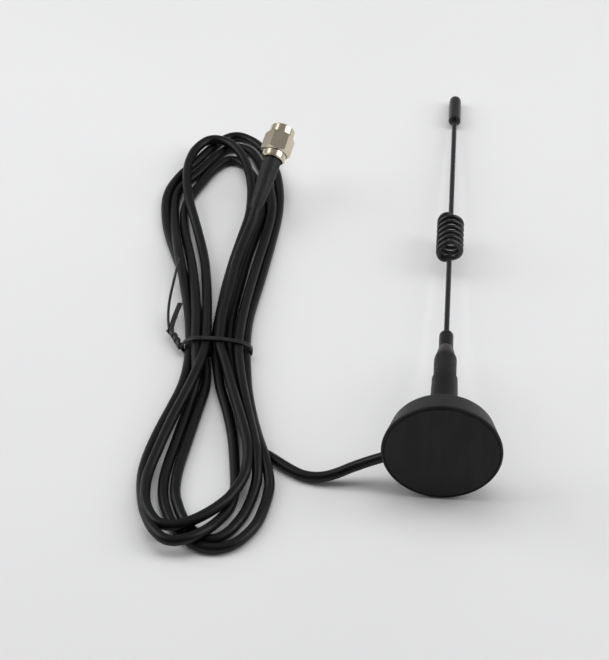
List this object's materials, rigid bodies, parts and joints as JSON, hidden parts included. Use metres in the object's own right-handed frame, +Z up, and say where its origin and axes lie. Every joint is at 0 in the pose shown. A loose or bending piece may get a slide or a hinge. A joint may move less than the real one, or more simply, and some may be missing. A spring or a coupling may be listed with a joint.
{
  "type": "magnetic-base whip antenna",
  "caption": "Small omnidirectional whip antenna with a sprung coil, magnetic base and a tied coax lead that ends in a screw-on coax plug, lying on its side.",
  "frame": {"origin": "on the surface it lies on, under the centre of the antenna without its lead; the lead, hank and plug lie at -X", "axes": "+Z up, +Y from the magnet face towards the tip of the whip, +X to the right of the antenna as seen from the base"},
  "size_m": [0.1031, 0.1993, 0.0309],
  "materials": {
    "base_plastic": "fine satin moulded black",
    "cover_film": "smooth matte black disc, plain",
    "magnet_plating": "nickel-plated magnet",
    "plate_steel": "thin rolled steel",
    "nylon": "natural nylon",
    "brass": "turned brass",
    "copper": "bare copper wire",
    "braid": "tinned copper braid, pressed flat",
    "heat_shrink": "matte black heat-shrink tubing",
    "ferrule_black": "black crimped ferrule",
    "whip_wire": "glossy black coated spring wire",
    "cap_plastic": "black moulded cap",
    "grommet_rubber": "soft black rubber",
    "jacket": "satin black PVC jacket, plain",
    "tie_plastic": "black plastic-coated tie wire",
    "connector_nickel": "warm nickel plate",
    "ptfe": "white PTFE",
    "gold": "gold-plated contact",
    "gasket_rubber": "silicone gasket"
  },
  "bodies": {
    "antenna": {"base_housing": "base_plastic", "mast_neck": "base_plastic", "cover_disc": "cover_film", "magnet": "magnet_plating", "ground_plate": "plate_steel", "insulator_bush": "nylon", "whip_socket": "brass", "plug_ring": "brass", "core_wire": "copper", "braid_clip": "braid", "neck_sleeve": "heat_shrink", "plug_sleeve": "heat_shrink", "whip_collar": "heat_shrink", "whip_ferrule": "ferrule_black", "whip_lower": "whip_wire", "whip_spring": "whip_wire", "cable_grommet": "grommet_rubber", "lead_tube": "jacket", "tail_tube": "jacket", "cord_hank": "jacket", "lead_end": "jacket", "tie_band": "tie_plastic", "tie_twist": "tie_plastic", "tie_tail_long": "tie_plastic", "tie_tail_short": "tie_plastic", "plug_body": "connector_nickel", "crimp_ferrule": "connector_nickel", "plug_dielectric": "ptfe", "plug_pin": "gold", "plug_gasket": "gasket_rubber"},
    "whip_top": {"whip_upper": "whip_wire", "tip_cap": "cap_plastic"},
    "coupling_nut": {"plug_nut": "connector_nickel"}
  },
  "joints": [
    {"name": "whip_flex", "type": "hinge", "parent": "antenna", "child": "whip_top", "pos_m": [0, 0.00765, 0.00806], "axis": [0, 0.08, 0.9968], "range_deg": [-60, 40], "stiffness_Nm_per_rad": 0.073, "deforming": ["whip_spring"]},
    {"name": "nut_turn", "type": "hinge", "parent": "antenna", "child": "coupling_nut", "pos_m": [-0.05285, 0.03623, 0.0182], "axis": [0.2178, 0.8852, 0.411], "continuous": true}
  ]
}
